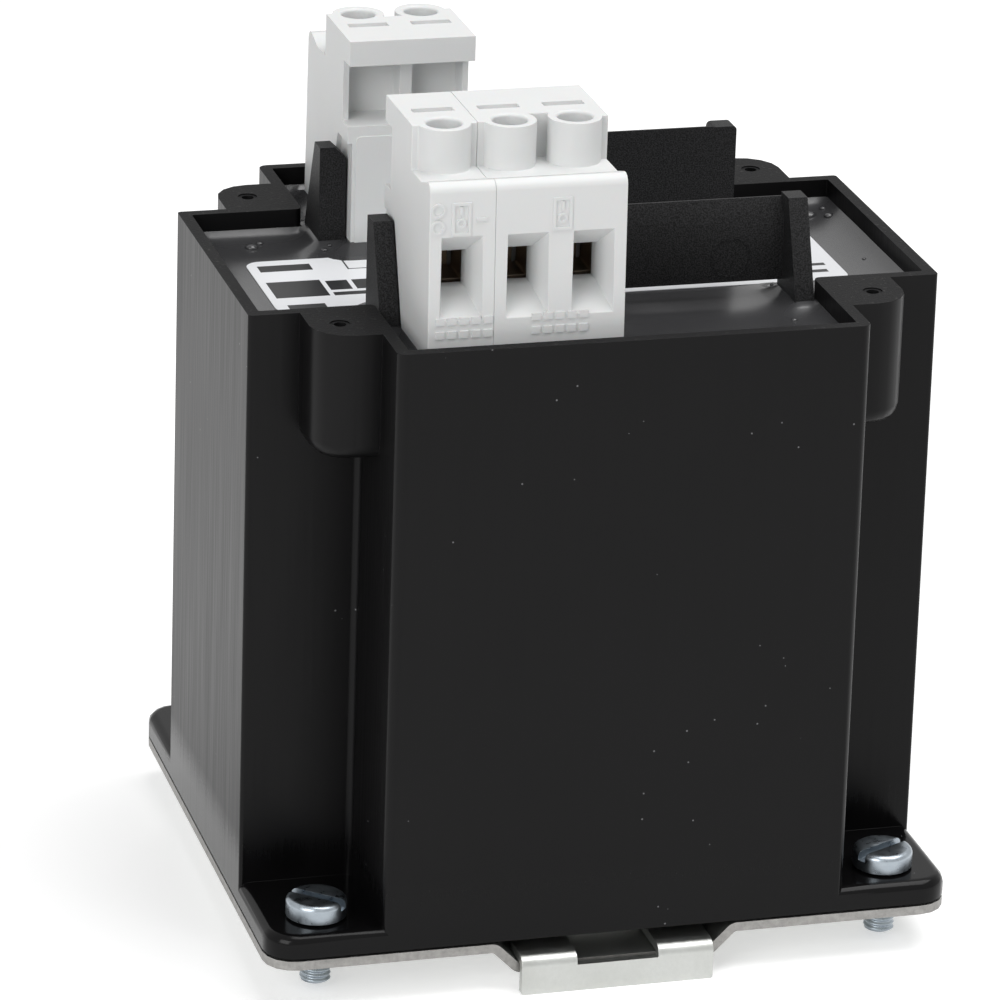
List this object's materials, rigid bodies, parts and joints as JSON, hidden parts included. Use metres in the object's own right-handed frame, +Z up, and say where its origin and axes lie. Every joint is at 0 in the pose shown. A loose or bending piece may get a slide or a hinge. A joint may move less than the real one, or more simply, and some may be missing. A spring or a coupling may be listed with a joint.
{
  "type": "safety isolating transformer",
  "caption": "Resin potted isolating transformer in a black cross-shaped cup, with grey screw terminals on top and a sheet steel foot that clips onto a 35 mm rail.",
  "frame": {"origin": "centre of the rail seat, on the underside of the channel pressed into the steel foot", "axes": "+Z up out of the seat towards the terminals, +X to the right along the rail, -Y towards the side with the latch tab"},
  "size_m": [0.0896, 0.0781, 0.1103],
  "materials": {
    "housing_plastic": "satin moulded black, faintly streaked",
    "former_plastic": "matt glass-filled black",
    "potting_resin": "glossy cast dark grey",
    "terminal_plastic": "satin light grey",
    "label": "smooth white film",
    "zinc_steel": "satin zinc plate",
    "screw_zinc": "bright blue-white zinc plate",
    "spring_steel": "drawn wire",
    "core_steel": "stacked laminations",
    "copper": "enamelled copper",
    "brass": "dull plated brass"
  },
  "bodies": {
    "root": {"housing": "housing_plastic", "base_plate": "zinc_steel", "latch_spring": "spring_steel", "e_core": "core_steel", "i_core": "core_steel", "coil_former": "former_plastic", "primary_winding": "copper", "secondary_winding": "copper", "potting_resin": "potting_resin", "terminal_strip_front_single": "terminal_plastic", "terminal_strip_front_double": "terminal_plastic", "terminal_strip_rear_double": "terminal_plastic", "flange_screw_front_left": "screw_zinc", "flange_screw_front_right": "screw_zinc", "flange_screw_rear_left": "screw_zinc", "flange_screw_rear_right": "screw_zinc", "current_bar_1": "brass", "lead_wire_1": "copper", "current_bar_2": "brass", "lead_wire_2": "copper", "current_bar_3": "brass", "lead_wire_3": "copper", "current_bar_4": "brass", "lead_wire_4": "copper", "current_bar_5": "brass", "lead_wire_5": "copper"},
    "latch": {"rail_latch": "zinc_steel"},
    "screw_1": {"clamp_screw_1": "screw_zinc"},
    "cage_1": {"clamp_cage_1": "brass"},
    "screw_2": {"clamp_screw_2": "screw_zinc"},
    "cage_2": {"clamp_cage_2": "brass"},
    "screw_3": {"clamp_screw_3": "screw_zinc"},
    "cage_3": {"clamp_cage_3": "brass"},
    "screw_4": {"clamp_screw_4": "screw_zinc"},
    "cage_4": {"clamp_cage_4": "brass"},
    "screw_5": {"clamp_screw_5": "screw_zinc"},
    "cage_5": {"clamp_cage_5": "brass"}
  },
  "joints": [
    {"name": "latch_slide", "type": "slide", "parent": "root", "child": "latch", "axis": [0, -1, 0], "range_m": [0, 0.004], "stiffness_N_per_m": 800, "springref_m": -0.003, "deforming": ["latch_spring"]},
    {"name": "clamp_screw_1_turn", "type": "hinge", "parent": "root", "child": "screw_1", "pos_m": [-0.02138, -0.02375, 0.1021], "axis": [0, 0, -1], "range_deg": [0, 2160]},
    {"name": "clamp_cage_1_lift", "type": "slide", "parent": "root", "child": "cage_1", "axis": [0, 0, 1], "range_m": [0, 0.0042]},
    {"name": "clamp_screw_2_turn", "type": "hinge", "parent": "root", "child": "screw_2", "pos_m": [-0.01312, -0.02375, 0.1021], "axis": [0, 0, -1], "range_deg": [0, 2160]},
    {"name": "clamp_cage_2_lift", "type": "slide", "parent": "root", "child": "cage_2", "axis": [0, 0, 1], "range_m": [0, 0.0042]},
    {"name": "clamp_screw_3_turn", "type": "hinge", "parent": "root", "child": "screw_3", "pos_m": [-0.00487, -0.02375, 0.1021], "axis": [0, 0, -1], "range_deg": [0, 2160]},
    {"name": "clamp_cage_3_lift", "type": "slide", "parent": "root", "child": "cage_3", "axis": [0, 0, 1], "range_m": [0, 0.0042]},
    {"name": "clamp_screw_4_turn", "type": "hinge", "parent": "root", "child": "screw_4", "pos_m": [-0.02032, 0.02375, 0.1021], "axis": [0, 0, -1], "range_deg": [0, 2160]},
    {"name": "clamp_cage_4_lift", "type": "slide", "parent": "root", "child": "cage_4", "axis": [0, 0, 1], "range_m": [0, 0.0042]},
    {"name": "clamp_screw_5_turn", "type": "hinge", "parent": "root", "child": "screw_5", "pos_m": [-0.01208, 0.02375, 0.1021], "axis": [0, 0, -1], "range_deg": [0, 2160]},
    {"name": "clamp_cage_5_lift", "type": "slide", "parent": "root", "child": "cage_5", "axis": [0, 0, 1], "range_m": [0, 0.0042]}
  ],
  "couplings": [
    {"joint": "clamp_screw_1_turn", "follows": "clamp_cage_1_lift", "rad_per_m": 8975},
    {"joint": "clamp_screw_2_turn", "follows": "clamp_cage_2_lift", "rad_per_m": 8975},
    {"joint": "clamp_screw_3_turn", "follows": "clamp_cage_3_lift", "rad_per_m": 8975},
    {"joint": "clamp_screw_4_turn", "follows": "clamp_cage_4_lift", "rad_per_m": 8975},
    {"joint": "clamp_screw_5_turn", "follows": "clamp_cage_5_lift", "rad_per_m": 8975}
  ]
}
